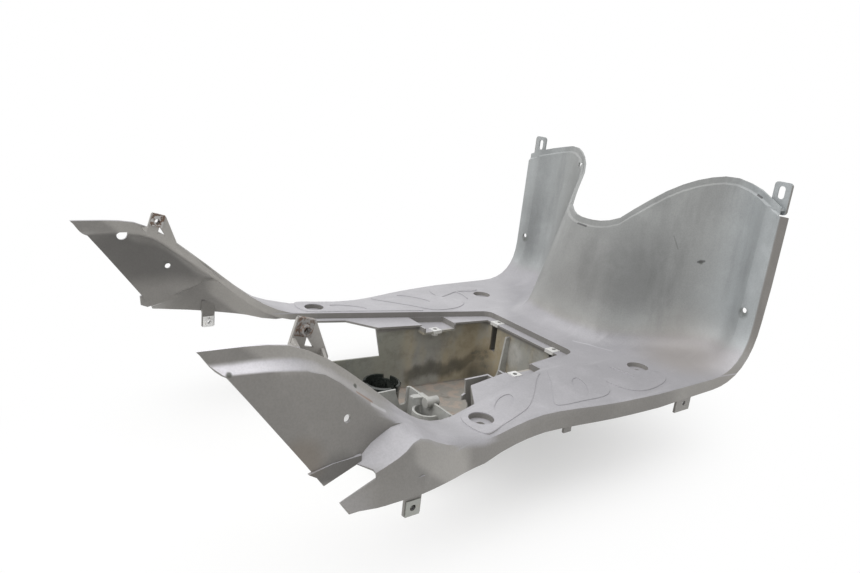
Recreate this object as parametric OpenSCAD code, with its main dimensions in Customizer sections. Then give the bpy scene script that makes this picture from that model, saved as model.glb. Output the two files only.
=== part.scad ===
// Scooter floorboard: one moulding with a flat tread, a bowl-shaped leg shield, two rear wings and a
// battery well between the feet, with the spring clips and the rubber cup that stay on it.
// X points forward to the leg shield, Y to the rider's left and Z up. The underside of the well is at Z = 0.

/* [Moulding] */
// Wall of the skin, mm
wall = 2.5; // [2:0.1:4]
// Overall half width of the tread edge at its widest, mm
tread_half = 198; // [180:1:215]
// Half width of the tread edge at the waist, mm
waist_half = 176.5; // [165:1:190]
// Distance between the rear and the front row of floor fixings, mm
fixing_pitch = 250; // [230:1:270]
// Depth of the rolled edge below the tread, mm
skirt_depth = 14.5; // [10:0.5:20]

/* [Opening] */
// Half width of the opening at the rear row of fixings, mm
opening_rear_half = 137; // [125:1:142]
// Half width of the opening at its front edge, mm
opening_front_half = 73.7; // [66:0.1:80]
// Front edge of the opening, ahead of the rear row of fixings, mm
opening_front = 211; // [195:1:215]
// Step from the tread down to the ledge for the lid, mm
ledge_step = 7; // [5:0.5:10]

/* [Leg shield] */
// Height of the shield's peaks above the tread, mm
shield_peak = 211; // [180:1:230]
// Height of the dip between the peaks, mm
shield_dip = 138.5; // [120:0.5:160]
// Distance of the shield's outer bands ahead of the rear row of fixings, mm
shield_reach = 362; // [345:1:380]
// Height of the stepped lip along the top edge, mm
lip_height = 9; // [6:0.5:14]
// Step of the lip away from the rider, mm
lip_step = 2.2; // [1.5:0.1:3]

/* [Rear wings] */
// Length of a wing behind the tread, mm
wing_length = 243; // [210:1:270]
// Rise of a wing above the tread, mm
wing_rise = 112; // [90:1:130]
// Half width between the rails of the wings, mm
wing_half = 181; // [170:1:190]
// Height of the rail's inward return, mm
return_height = 11.5; // [8:0.5:18]

/* [Battery well] */
// Depth of the well below the tread, mm
well_depth = 95; // [80:1:110]
// Half width of the well at its front wall, mm
well_front_half = 72; // [66:1:78]
// Half width of the well at its rear wall, mm
well_rear_half = 96; // [85:1:105]
// Rear end of the well, behind the rear row of fixings, mm
well_rear = 24; // [15:1:35]
// Gap between the well's front wall and the opening's front edge, mm
front_ledge = 8; // [5:0.5:12]
// Overhang of the lid ledge inside the well's front corners, mm
ledge_lip = 10; // [6:0.5:14]
// Top of the low rear walls, below the tread, mm
low_wall_top = 45; // [35:1:60]

/* [Fixings] */
// Diameter of the pockets for the floor screws, mm
pocket_d = 23.4; // [20:0.1:28]
// Depth of those pockets, mm
pocket_depth = 5; // [3:0.5:8]
// Hole for a floor screw, mm
floor_hole_d = 8; // [6:0.1:10]
// Hole for a side screw in a wing or a shield band, mm
side_hole_d = 6.2; // [5:0.1:8]
// Hole through a metal clip and its tab, mm
clip_hole_d = 5.2; // [4:0.1:7]
// Sheet of a metal clip, mm
clip_sheet = 0.8; // [0.6:0.1:1.2]

/* [Rubber cup] */
// Outer diameter of the cup, mm
cup_d = 43; // [36:1:43]
// Height of the cup, mm
cup_height = 47; // [40:1:55]
// Wall of the cup, mm
cup_wall = 2; // [1.5:0.1:3]

/* [Hidden] */
$fn = 64;

// Rows of the loft, from the wing tips forward and up the shield
wing_rows = 16;
tread_rows = 11;
floor_rows = 4;
knee_rows = 8;
wall_rows = 9;
row_tread = wing_rows;
row_front = row_tread + tread_rows;
row_knee = row_front + floor_rows;
row_wall = row_knee + knee_rows;
row_lip = row_wall + wall_rows;
row_top = row_lip + 2;
row_leg = 2;
row_return = 9;
row_step = 5;

// Columns of one half of the loft, from the centre line outward
col_return = 4;
col_edge = 5;
col_valley = 11;
col_bead = 16;
col_flat = 17;
col_round = 19;
col_foot = 22;

tread_rear = -21;

function lerp(a, b, t) = a + (b - a) * t;
function unit(v) = v / norm(v);

// Smooth curve through stations [where, value], where a value is a number or a point
function segment(st, x, i = 0) = i >= len(st) - 2 || x < st[i + 1][0] ? i : segment(st, x, i + 1);
function slope(st, i) =
    let (a = max(i - 1, 0), b = min(i + 1, len(st) - 1))
    (st[b][1] - st[a][1]) / (st[b][0] - st[a][0]);
function through(st, x) =
    let (i = segment(st, x), h = st[i + 1][0] - st[i][0], t = (x - st[i][0]) / h)
    (2 * t ^ 3 - 3 * t ^ 2 + 1) * st[i][1] + (t ^ 3 - 2 * t ^ 2 + t) * h * slope(st, i)
    + (3 * t ^ 2 - 2 * t ^ 3) * st[i + 1][1] + (t ^ 3 - t ^ 2) * h * slope(st, i + 1);

// Plan of the tread: the opening's edge and the outer edge
function opening_half(x) = lerp(opening_rear_half, opening_front_half, x / opening_front);
edge_plan = [
    [tread_rear, tread_half - 8], [0, tread_half - 11.4], [22, lerp(waist_half, tread_half, 0.25)],
    [48, waist_half + 1], [72, waist_half], [96, lerp(waist_half, tread_half, 0.15)],
    [140, lerp(waist_half, tread_half, 0.52)], [190, lerp(waist_half, tread_half, 0.76)],
    [250, tread_half - 1.6], [shield_reach, tread_half]];
function edge_half(x) = through(edge_plan, x);
function edge_round(x) = x < 48 ? 8 : x > 200 ? 3 : lerp(8, 3, (x - 48) / 152);
foot_drop = [
    [tread_rear, skirt_depth + 6.5], [0, skirt_depth + 3], [80, skirt_depth + 3.5],
    [125, skirt_depth + 2], [opening_front, skirt_depth]];
edge_flare = 2.5;

function tread_x(r) = lerp(tread_rear, opening_front, (r - row_tread) / tread_rows);
function tread_point(x, k) =
    let (flat = edge_half(x) - edge_round(x))
    k <= col_flat ? [x, lerp(opening_half(x), flat, (k - col_edge) / (col_flat - col_edge)), 0]
    : k == col_flat + 1 ? [x, flat + edge_round(x) * sin(45), edge_round(x) * (cos(45) - 1)]
    : let (down = (k - col_round) / (col_foot - col_round))
        [x, edge_half(x) + edge_flare * down, lerp(-edge_round(x), -through(foot_drop, x), down)];

// Guide curves of a wing: share of the length back, millimetres outboard of the rail, share of the rise
function wing_at(back, out, up) = [tread_rear - back * wing_length, wing_half + out, up * wing_rise];
rail_inset = [[0, 1], [0.08, 0.88], [0.16, 0.75], [0.24, 0.58], [0.325, 0.34], [0.45, 0], [1, 0]];
rail_rise = [
    [0, 0], [0.08, 0.018], [0.16, 0.08], [0.243, 0.185], [0.325, 0.32], [0.45, 0.545],
    [0.585, 0.777], [0.655, 0.875], [0.74, 0.96], [0.835, 0.99], [1, 1]];
function rail(r) =
    let (back = 1 - r / wing_rows, inset = through(rail_inset, back))
    [tread_rear - back * wing_length, lerp(wing_half, opening_half(tread_rear), inset),
        wing_rise * through(rail_rise, back)];
valley_guide = [
    [0, wing_at(0.93, 8, 0.85)], [2.5, wing_at(0.79, 10.5, 0.84)], [5, wing_at(0.655, 11, 0.78)],
    [7.5, wing_at(0.527, 11, 0.57)], [10, wing_at(0.395, 3, 0.388)], [13, wing_at(0.193, -10, 0.116)],
    [row_tread, tread_point(tread_rear, col_valley)]];
bead_guide = [
    [0, wing_at(0.66, 22, 0.08)], [5, wing_at(0.56, 21.5, 0.18)], [6.5, wing_at(0.51, 16, 0.24)],
    [8, wing_at(0.46, 13, 0.285)], [10, wing_at(0.38, 13, 0.34)], [13, wing_at(0.193, 6, 0.112)],
    [row_tread, tread_point(tread_rear, col_bead)]];
shoulder_guide = [
    [0, wing_at(0.7, 33, 0.04)], [5, wing_at(0.523, 31, 0.16)], [7.5, wing_at(0.44, 31, 0.232)],
    [10, wing_at(0.362, 24, 0.29)], [13, wing_at(0.193, 10.5, 0.098)],
    [row_tread, tread_point(tread_rear, col_flat)]];
fold_guide = [
    [0, wing_at(0.704, 37, -0.009)], [2, wing_at(0.638, 36, 0.022)], [5, wing_at(0.519, 35.5, 0.116)],
    [7.5, wing_at(0.428, 36, 0.2)], [10, wing_at(0.34, 29, 0.236)], [13, wing_at(0.197, 17, 0.054)],
    [14.5, wing_at(0.09, 11, -0.045)], [row_tread, tread_point(tread_rear, col_round)]];
leg_guide = [
    [0, wing_at(0.72, 45, 0)], [2, wing_at(0.622, 43.7, -0.016)], [5, wing_at(0.531, 43, -0.051)],
    [7.5, wing_at(0.44, 40, -0.076)], [10, wing_at(0.34, 36, -0.104)], [13, wing_at(0.185, 25, -0.143)],
    [14.5, wing_at(0.08, 14, -0.19)], [row_tread, tread_point(tread_rear, col_foot)]];

// Profile from the rail out to the valley: a steep outer face, then a slanted ledge
rail_profile = [
    [0, [0, 0, 0]], [0.2, [0.2, 0.05, 0.22]], [0.4, [0.4, 0.13, 0.5]], [0.6, [0.6, 0.34, 0.69]],
    [0.8, [0.8, 0.72, 0.84]], [1, [1, 1, 1]]];
function shaped(r) = sin(90 * max(0, min(1, (12.5 - r) / 6.5)));
function wing_point(r, k) =
    let (rise = sin(min(1, 2 * (1 - r / wing_rows)) * 90), edge = rail(r))
    k == col_return ?
        (r < row_return ? 2 * edge - wing_point(r, col_edge + 1)
        : edge + [0, 0.5, -lerp(ledge_step + 1, return_height, rise) * (1 - 0.4 * shaped(r))])
    : k <= col_valley ?
        let (t = (k - col_edge) / (col_valley - col_edge), valley = through(valley_guide, r),
            mix = through(rail_profile, t))
        [for (i = [0:2]) lerp(edge[i], valley[i], lerp(t, mix[i], shaped(r)))]
            + [0, 1, 1.2] * 2.2 * rise * (1 - shaped(r)) * sin(180 * t)
    : k <= col_bead ?
        let (t = (k - col_valley) / (col_bead - col_valley))
        lerp(through(valley_guide, r), through(bead_guide, r), t) + [0, 2 * rise * sin(180 * t), 0]
    : k == col_flat ? through(shoulder_guide, r)
    : k < col_round ? lerp(through(shoulder_guide, r), through(fold_guide, r), 0.5) + [0, 1.2, 1.2]
    : lerp(through(fold_guide, r), through(leg_guide, r), (k - col_round) / (col_foot - col_round));

// Shield: each column runs forward on the floor, turns up through a knee and climbs to the top edge
function share(k) = (k - col_edge) / (col_flat - col_edge);
knee_plan = [
    [0, [shield_reach - 99, 62, 0]], [0.15, [shield_reach - 72, 78, 0]],
    [0.3, [shield_reach - 42, 95, 0]], [0.45, [shield_reach - 14, 115, 0]],
    [0.62, [shield_reach + 4, 140, 0]], [0.78, [shield_reach + 8, 162, 0]],
    [share(col_bead), [shield_reach, tread_half - 21, 0]], [1, [shield_reach, tread_half - 5, 0]]];
top_edge = [
    [0, [shield_reach - 68, 41, shield_dip + 9]],
    [0.12, [shield_reach - 49, 54, lerp(shield_dip, shield_peak, 0.365)]],
    [0.27, [shield_reach - 21, 71, lerp(shield_dip, shield_peak, 0.67)]],
    [0.42, [shield_reach - 2, 92, lerp(shield_dip, shield_peak, 0.875)]],
    [0.62, [shield_reach + 14, 122, shield_peak]],
    [0.78, [shield_reach + 16, 150, shield_peak - 5]],
    [share(col_bead), [shield_reach + 4, tread_half - 22, shield_peak - 13.5]],
    [1, [shield_reach, tread_half - 5, shield_peak - 21]]];
knee_length = [[0, 25], [0.3, 34], [0.6, 44], [1, 58]];

// The centre columns close the tunnel between the two ridges
function foot_point(k) =
    k >= col_edge ? through(knee_plan, share(k))
    : let (m = k / (col_edge - 1)) [knee_plan[0][1][0] - 6 * (1 - m ^ 2), knee_plan[0][1][1] * m, 0];
function top_point(k) =
    k >= col_edge ? through(top_edge, share(k))
    : let (m = k / (col_edge - 1), ridge = top_edge[0][1])
        [ridge[0] - 15 * (1 - m ^ 2), ridge[1] * m, lerp(shield_dip, ridge[2], m ^ 3)];
function floor_point(k) =
    k >= col_edge ? tread_point(opening_front, k)
    : [opening_front, opening_front_half * k / (col_edge - 1), 0];
function knee_reach(k) = k >= col_edge ? through(knee_length, share(k)) : knee_length[0][1];

function shield_point(r, k) =
    let (foot = foot_point(k), top = top_point(k), start = floor_point(k),
        up = unit(top - foot), knee_in = foot - knee_reach(k) * unit(foot - start),
        knee_out = foot + knee_reach(k) * up, wall_end = top - lip_height * up)
    r <= row_knee ? lerp(start, knee_in, (r - row_front) / floor_rows)
    : r <= row_wall ?
        let (t = (r - row_knee) / knee_rows)
        (1 - t) ^ 2 * knee_in + 2 * t * (1 - t) * foot + t ^ 2 * knee_out
    : r <= row_lip ? lerp(knee_out, wall_end, (r - row_wall) / wall_rows)
    : lerp(wall_end + up * lip_step, top, r - row_lip - 1) + lip_step * lip_out(k);

// Direction away from the rider across the top edge
function lip_out(k) =
    let (a = k == 0 ? mirror_y(wall_end_point(1)) : wall_end_point(skip_return(k, -1)),
        b = wall_end_point(skip_return(min(k, col_flat - 1), 1)))
    -unit(cross(top_point(k) - foot_point(k), b - a));
function skip_return(k, step) = k + step == col_return ? k + 2 * step : k + step;
function wall_end_point(k) = top_point(k) - lip_height * unit(top_point(k) - foot_point(k));
function mirror_y(p) = [p[0], -p[1], p[2]];

// The rim turns away from the rider all along the shield's outer band
function rim_point(r, k) =
    let (base = shield_point(r, col_flat),
        along = shield_point(r + 1, col_flat) - shield_point(max(r - 1, row_front), col_flat),
        away = unit([along[2], 0, -along[0]]), turn = edge_round(opening_front))
    k == col_flat + 1 ? base + [0, turn * sin(45), 0] + away * turn * (1 - cos(45))
    : let (down = (k - col_round) / (col_foot - col_round))
        base + [0, turn + edge_flare * down, 0] + away * lerp(turn, rim_depth(r), down);
function rim_depth(r) =
    skirt_depth * (1 - 0.26 * sin(180 * min(1, (r - row_front) / (row_wall + 3 - row_front))));

function half_point(r, k) =
    r <= row_tread && k >= col_return ? wing_point(r, k)
    : r <= row_front ?
        (k > col_return ? tread_point(tread_x(r), k)
        : k == col_return ? tread_point(tread_x(r), col_edge) + [0, 0.5, -ledge_step - 1]
        : [tread_x(r), opening_half(tread_x(r)) * k / (col_edge - 1), 0])
    : k == col_return ? lerp(shield_point(r, col_return - 1), shield_point(r, col_edge), 0.5)
    : k <= col_flat ? shield_point(r, k)
    : rim_point(r, k);

// Strips of the half loft: inner column, outer column, first row, last row
strips = concat(
    [for (k = [0:col_return - 2]) [k, k + 1, row_front, row_top]],
    [[col_return - 1, col_edge, row_front, row_top], [col_return, col_edge, row_return, row_front]],
    [for (k = [col_edge:col_bead - 1]) [k, k + 1, 0, row_top]],
    [[col_bead, col_flat, row_step, row_top]],
    [for (k = [col_flat:col_round - 1]) [k, k + 1, row_step, row_lip]],
    [for (k = [col_round:col_foot - 1]) [k, k + 1, row_leg, row_lip]]);
both_strips = concat(strips, [for (s = strips) [-s[1], -s[0], s[2], s[3]]]);

columns = 2 * col_foot + 1;
outer = [for (r = [0:row_top]) [for (f = [-col_foot:col_foot])
    let (p = half_point(r, abs(f))) f < 0 ? mirror_y(p) : p]];
function apart(r, a, b) = r <= row_front && min(a, b) == col_return - 1 && max(a, b) == col_return;
function stride(r, f) =
    f < -col_foot || f >= col_foot || apart(r, abs(f), abs(f + 1)) ? [0, 0, 0]
    : unit(outer[r][f + 1 + col_foot] - outer[r][f + col_foot]);
function grid_normal(r, c) =
    let (along = outer[min(r + 1, row_top)][c] - outer[max(r - 1, 0)][c])
    unit(cross(along, stride(r, c - col_foot - 1) + stride(r, c - col_foot)));
inner = [for (r = [0:row_top]) [for (c = [0:columns - 1]) outer[r][c] - wall * grid_normal(r, c)]];

function vertex(r, f) = r * columns + f + col_foot;
function same_side(f, s, r) = len([for (o = both_strips) if (o[s] == f && r >= o[2] && r < o[3]) 1]) > 0;
skin_count = (row_top + 1) * columns;

module skin() {
    cells = [for (s = both_strips) for (r = [s[2]:s[3] - 1])
        [vertex(r, s[0]), vertex(r + 1, s[0]), vertex(r + 1, s[1]), vertex(r, s[1]), s[0] < 0 ? 1 : 0]];
    faces = [for (q = cells) each q[4] == 0 ? [[q[0], q[1], q[2]], [q[0], q[2], q[3]]]
        : [[q[0], q[1], q[3]], [q[1], q[2], q[3]]]];
    back_faces = [for (f = faces) [f[2], f[1], f[0]] + [skin_count, skin_count, skin_count]];
    edges = [for (s = both_strips) each concat(
        [[vertex(s[2], s[1]), vertex(s[2], s[0])], [vertex(s[3], s[0]), vertex(s[3], s[1])]],
        [for (r = [s[2]:s[3] - 1]) if (!same_side(s[0], 1, r)) [vertex(r, s[0]), vertex(r + 1, s[0])]],
        [for (r = [s[2]:s[3] - 1]) if (!same_side(s[1], 0, r)) [vertex(r + 1, s[1]), vertex(r, s[1])]])];
    rims = [for (e = edges) each [
        [e[1], e[0], e[0] + skin_count], [e[1], e[0] + skin_count, e[1] + skin_count]]];
    all_faces = concat(faces, back_faces, rims);
    points = concat([for (row = outer) each row], [for (row = inner) each row]);
    polyhedron(points, [for (f = all_faces) [f[2], f[1], f[0]]], convexity = 10);
}

// Corner points of an outline, each rounded by an arc of the same radius
function fillet(a, b, c, r) =
    let (u = unit(a - b), v = unit(c - b), half = acos(u * v) / 2,
        centre = b + unit(u + v) * r / sin(half), from = centre - (b + u * r / tan(half)),
        to = centre - (b + v * r / tan(half)), start = atan2(-from[1], -from[0]),
        sweep = atan2(-to[1], -to[0]) - start, turn = sweep - 360 * round(sweep / 360))
    [for (i = [0:fillet_steps]) centre + r * [cos(start + turn * i / fillet_steps), sin(start + turn * i / fillet_steps)]];
function rounded(p, r) =
    [for (i = [0:len(p) - 1]) each fillet(p[(i + len(p) - 1) % len(p)], p[i], p[(i + 1) % len(p)], r)];
function both_sides(half) =
    concat(half, [for (i = [len(half) - 1:-1:0]) [half[i][0], -half[i][1]]]);
fillet_steps = 5;

// Battery well under the opening
well_front = opening_front - front_ledge;
function well_half(x) = lerp(well_rear_half, well_front_half, (x + well_rear) / (well_front + well_rear));
function well_outline(grow) = rounded(both_sides([
    [-well_rear - grow, well_half(-well_rear) + grow], [well_front + grow, well_half(well_front) + grow]]), 14);
ledge_top = -ledge_step;
full_wall_rear = 46;
window_lean = 9;
narrow_ledge = 8;
front_lip = 4;
mid_x = 123.3;

rear_chamfer = 22;
module well_shell() {
    difference() {
        translate([0, 0, -well_depth])
            linear_extrude(well_depth + ledge_top - wall / 2) polygon(well_outline(wall));
        difference() {
            translate([0, 0, wall - well_depth])
                linear_extrude(well_depth) polygon(well_outline(0));
            below_chamfer(sqrt(2) * wall);
        }
        below_chamfer(0);
        rear_windows();
        front_slot();
    }
}

// Space below the sloping rear corner of the well
module below_chamfer(grow) {
    corner = [-well_rear - wall, -well_depth];
    reach = rear_chamfer + grow;
    translate([0, tread_half, 0]) rotate([90, 0, 0]) linear_extrude(2 * tread_half)
        polygon([corner + [-wall, reach + wall], corner + [reach + wall, -wall], corner - [wall, wall]]);
}

// The rear walls stay low, so that the well is open to both sides there
module rear_windows() {
    low = -low_wall_top;
    top = ledge_top + 1;
    side = [[-well_rear - 20, low], [full_wall_rear + window_lean, low], [full_wall_rear, top],
        [-well_rear - 20, top]];
    translate([0, tread_half, 0]) rotate([90, 0, 0]) linear_extrude(2 * tread_half) polygon(side);
}

module front_slot() {
    slot_w = 10;
    slot_top = ledge_top - 6;
    slot_length = 33;
    slot_y = well_front_half - 21;
    for (side = [-1, 1])
        translate([well_front - 5, side * slot_y - slot_w / 2, slot_top - slot_length])
            cube([wall + 10, slot_w, slot_length]);
}

// Ledge for the lid: a U round the opening, narrow beside the rear windows
module lid_ledge() {
    seat = 1.6;
    outer_edge = [
        [tread_rear + 3, opening_half(tread_rear + 3) + seat],
        [opening_front + seat, opening_half(opening_front) + seat]];
    inner_edge = [
        [tread_rear + 3, opening_half(tread_rear + 3) - narrow_ledge],
        [full_wall_rear - 22, opening_half(full_wall_rear - 22) - narrow_ledge],
        [full_wall_rear + 2, well_half(full_wall_rear) - 1.5],
        [mid_x, well_half(mid_x) - 0.75 * ledge_lip],
        [well_front - front_lip, well_half(well_front) - ledge_lip]];
    translate([0, 0, ledge_top - wall]) linear_extrude(wall)
        polygon(concat(both_sides(outer_edge),
            [for (i = [0:len(inner_edge) - 1]) [inner_edge[i][0], -inner_edge[i][1]]],
            [for (i = [len(inner_edge) - 1:-1:0]) inner_edge[i]]));
    translate([opening_front + 0.2, -opening_front_half - seat, ledge_top - wall / 2])
        cube([wall, 2 * (opening_front_half + seat), ledge_step]);
}

// Partitions inside the well: a cross wall, and a divider with a rounded notch beside the rubber cup
cross_wall_x = 40;
cross_top = -46;
divider_y = 4;
divider_rear = -12;
notch_bottom = cross_top - 20;
module partitions() {
    floor_z = wall / 2 - well_depth;
    side_end = -well_half(cross_wall_x) - wall / 2;
    translate([cross_wall_x, side_end, floor_z]) cube([wall, divider_y - side_end, cross_top - floor_z]);
    notch = rounded([
        [cross_wall_x - 18, cross_top + 20], [cross_wall_x - 18, cross_top - 4], [cross_wall_x - 11, notch_bottom],
        [cross_wall_x - 2.5, notch_bottom], [cross_wall_x - 2.5, cross_top + 20]], 3.4);
    translate([0, divider_y + wall / 2, 0]) rotate([90, 0, 0]) linear_extrude(wall) difference() {
        polygon([[divider_rear, floor_z], [cross_wall_x + wall / 2, floor_z],
            [cross_wall_x + wall / 2, cross_top], [divider_rear, cross_top]]);
        polygon(notch);
    }
    cable_guide();
    gusset();
}

// Half-round rib behind the cross wall
module cable_guide() {
    centre = [cross_wall_x - 4, -37];
    guide_r = 16;
    guide_top = cross_top - 9;
    low = wall / 2 - well_depth;
    translate([0, 0, low]) linear_extrude(guide_top - low) difference() {
        translate(centre) circle(r = guide_r);
        translate(centre) circle(r = guide_r - wall);
        translate([centre[0] + wall / 2, centre[1] - 2 * guide_r]) square(4 * guide_r);
    }
}

// Rib that stiffens the front wall
module gusset() {
    y = 22;
    foot = 26;
    translate([well_front + wall / 2, y + wall / 2, wall / 2 - well_depth]) rotate([90, 0, 0])
        linear_extrude(wall) polygon([[0, 0], [-foot, 0], [-foot / 2, 34], [-8, 78], [0, 78]]);
}

// Moulded boss with a paddle on the cross wall
module cable_boss() {
    boss_r = 5.5;
    boss_y = -37;
    paddle_y = -17;
    paddle = [[0, 0], [-13, 3], [-15, 9], [-9, 11], [0, 8]];
    translate([cross_wall_x - 8, boss_y, cross_top]) rotate([0, 90, 0]) cylinder(r = boss_r, h = 16);
    translate([cross_wall_x - 3, boss_y, cross_top - 1]) cube([6, paddle_y - boss_y, 2.5]);
    translate([cross_wall_x, paddle_y - 10, cross_top - 1]) linear_extrude(2) polygon(paddle);
}

// Guard plate beside the cross wall, with a hooked rear edge
module guard_plate() {
    y = -well_front_half + 1;
    low = wall / 2 - well_depth;
    translate([0, y + wall / 2, 0]) rotate([90, 0, 0]) linear_extrude(wall) polygon([
        [full_wall_rear + 8, ledge_top - wall / 2], [full_wall_rear + 40, ledge_top - wall / 2],
        [full_wall_rear + 40, low], [full_wall_rear + 16, low], [full_wall_rear + 16, -38],
        [full_wall_rear + 12, -31], [full_wall_rear + 6, -31], [full_wall_rear + 6, -26],
        [full_wall_rear + 10, -24]]);
    translate([full_wall_rear + 40 - wall, -well_half(full_wall_rear + 40) - 1, low])
        cube([wall, well_half(full_wall_rear + 40) + y + 1, ledge_top - wall / 2 - low]);
}

// Places of the floor screws
rear_fixing_half = 158.7;
front_fixing_half = 135.4;
module floor_fixings() {
    for (side = [-1, 1]) {
        translate([0, side * rear_fixing_half, 0]) children();
        translate([fixing_pitch, side * front_fixing_half, 0]) children();
    }
}
module floor_boss() {
    translate([0, 0, -pocket_depth - wall]) cylinder(d = pocket_d + 2 * wall, h = pocket_depth + wall / 2);
}
module floor_pocket() {
    translate([0, 0, -pocket_depth]) cylinder(d = pocket_d, h = 2 * pocket_depth);
    translate([0, 0, -3 * pocket_depth]) cylinder(d = floor_hole_d, h = 3 * pocket_depth);
}

module both() {
    children();
    mirror([0, 1, 0]) children();
}
module bore(d) {
    cylinder(d = d, h = 8 * wall, center = true);
}

// Raised pads of the tread, each a smooth closed outline
function around(p, i) = p[(i + len(p)) % len(p)];
function loop(p, n) = [for (i = [0:len(p) - 1]) for (j = [0:n - 1])
    let (t = j / n, a = around(p, i), b = around(p, i + 1),
        from = (b - around(p, i - 1)) / 2, to = (around(p, i + 2) - a) / 2)
    (2 * t ^ 3 - 3 * t ^ 2 + 1) * a + (t ^ 3 - 2 * t ^ 2 + t) * from
    + (3 * t ^ 2 - 2 * t ^ 3) * b + (t ^ 3 - t ^ 2) * to];
pad_height = 0.8;
pad_border = 5;
rear_pad = [
    [tread_rear + 6, opening_half(tread_rear) + pad_border], [29, opening_half(29) + pad_border],
    [90, opening_half(90) + pad_border], [126, opening_half(126) + pad_border], [110, waist_half - 60],
    [86, waist_half - 38.5], [59, waist_half - 18], [38, waist_half - 9], [13, waist_half - 1],
    [tread_rear + 6, waist_half + 5]];
middle_pad = [
    [144, opening_half(144) + 7], [121, 127], [99, 151], [87, 165], [93, waist_half - 6],
    [121, waist_half - 4], [147, tread_half - 24], [163, tread_half - 30], [178, 151], [189, 137], [202, 117],
    [180, 100]];
front_pad = [
    [184, 143], [181, 158], [186, 173], [198, tread_half - 16], [219, tread_half - 15.5],
    [fixing_pitch - 7, tread_half - 21.5], [fixing_pitch + 5, 168], [fixing_pitch + 8, 157],
    [fixing_pitch - 2, 151], [221, 156]];
front_ridge = [[215, 124], [223, 138], [223, 154], [217, 169], [219.5, 154], [219.5, 139]];
pads = [rear_pad, middle_pad, front_pad, front_ridge];
module tread_pads() {
    for (p = pads)
        translate([0, 0, -wall / 2]) linear_extrude(wall / 2 + pad_height) polygon(loop(p, 5));
}

// Oval hollows of the pads: centre, turn and half length
ovals = [[[40, 144.5], -34, 23], [[141, 148], -52, 23]];
module pad_ovals() {
    for (o = ovals)
        translate([o[0][0], o[0][1], 0.01]) rotate(o[1]) linear_extrude(2 * pad_height)
            polygon([for (i = [0:23]) [o[2] * cos(15 * i), 0.32 * o[2] * sin(15 * i)]]);
}

// Corners of the opening
corner_r = 12;
module opening_corner() {
    corner = [opening_front, opening_half(opening_front)];
    back = [0, opening_half(0)];
    translate([0, 0, ledge_top - wall / 2]) linear_extrude(ledge_step + wall / 2 - 0.01)
        polygon(concat([corner + [1.8, 1.8]], fillet(back, corner, [opening_front, 0], corner_r)));
}

// Tabs for screws and spring clips
tab_hole_d = clip_hole_d + 2;
clip_tab_w = 20;
top_tab_x = shield_reach + 11;
module top_tab() {
    y = tread_half - 22;
    high = shield_peak + 5;
    foot = shield_peak - 25;
    slot = [y + 5, high - 18.5];
    translate([top_tab_x, 0, 0]) rotate([90, 0, 90]) linear_extrude(wall) difference() {
        polygon(rounded([
            [y, foot - 5], [y + clip_tab_w, foot - 5], [y + clip_tab_w, high], [y, high]], 4));
        polygon(rounded([slot, slot + [8, 0], slot + [8, 14], slot + [0, 14]], 3.2));
    }
    translate([shield_reach + 3, y + 2, foot]) cube([top_tab_x - shield_reach - 2, clip_tab_w - 4, wall]);
}
module skirt_tab() {
    x = fixing_pitch - 3;
    reach = 30;
    difference() {
        translate([x, tread_half - 7.2, -reach]) cube([25, wall, reach - 1]);
        translate([x + 14, tread_half - 6, -reach + 9]) rotate([90, 0, 0]) bore(clip_hole_d);
    }
}
module waist_tab() {
    translate([90, edge_half(95) - 3, -25]) cube([10, wall, 16]);
}
// Sunk shelf in the ledge on each side, for the lid's screws
shelf_rear = 105;
shelf_front = 149;
shelf_z = ledge_top - 7;
shelf_edge = 67.3;
function shelf_plan(grow, inside, gap) = [
    [shelf_rear - grow, inside], [shelf_front + grow, inside],
    [shelf_front + grow, opening_half(shelf_front + grow) + gap],
    [shelf_rear - grow, opening_half(shelf_rear - grow) + gap]];
module lid_shelf() {
    translate([0, 0, shelf_z - wall]) linear_extrude(ledge_top - shelf_z + wall / 2)
        polygon(shelf_plan(wall, shelf_edge, 1.6));
}
module lid_recess() {
    translate([0, 0, shelf_z]) linear_extrude(well_depth) polygon(shelf_plan(0, shelf_edge - 20, -0.2));
    translate([mid_x, shelf_edge + mid_hole_in, shelf_z]) bore(tab_hole_d);
}
mid_hole_in = 5.5;

front_clip_y = 48.6;
module front_clip_hole() {
    translate([opening_front - 4, front_clip_y, ledge_top]) cylinder(d = clip_hole_d, h = 4 * wall, center = true);
}

// Lip and small tab along the lower edge of a wing's panel
panel_corner = wing_at(0.67, 21.2, 0.07);
left_lip = [[-7.3, 1.8], [-0.5, -1.1], [33.8, 6.6], [31.3, 14.5], [8, 16], [-8.2, 12]];
right_lip = [[-3.9, 9.2], [2.2, 1.3], [31, 13], [31, 18], [8, 17], [-10, 13]];
module corner_lip(outline) {
    translate(panel_corner) rotate([90, 0, 0]) linear_extrude(wall, center = true) polygon(outline);
}

// The lower leg of a wing carries a tab set in from its edge
leg_tab = wing_at(0.371, 31, 0);
leg_tab_end = -28.7;
leg_tab_w = 15;
leg_hole_in = 6;
module leg_tab() {
    low = -0.08 * wing_rise;
    difference() {
        translate([leg_tab[0] - leg_tab_w / 2, 0, 0]) rotate([90, 0, 90]) linear_extrude(leg_tab_w)
            polygon([[leg_tab[1], leg_tab_end], [leg_tab[1] + wall, leg_tab_end],
                [leg_tab[1] + wall, low - 4], [leg_tab[1] + 4.4, low - 1], [leg_tab[1] + 4.2, 3],
                [leg_tab[1] + 2, 3], [leg_tab[1], low - 2]]);
        translate([leg_tab[0], leg_tab[1], leg_tab_end + leg_hole_in]) rotate([90, 0, 0]) bore(tab_hole_d);
    }
}

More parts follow.
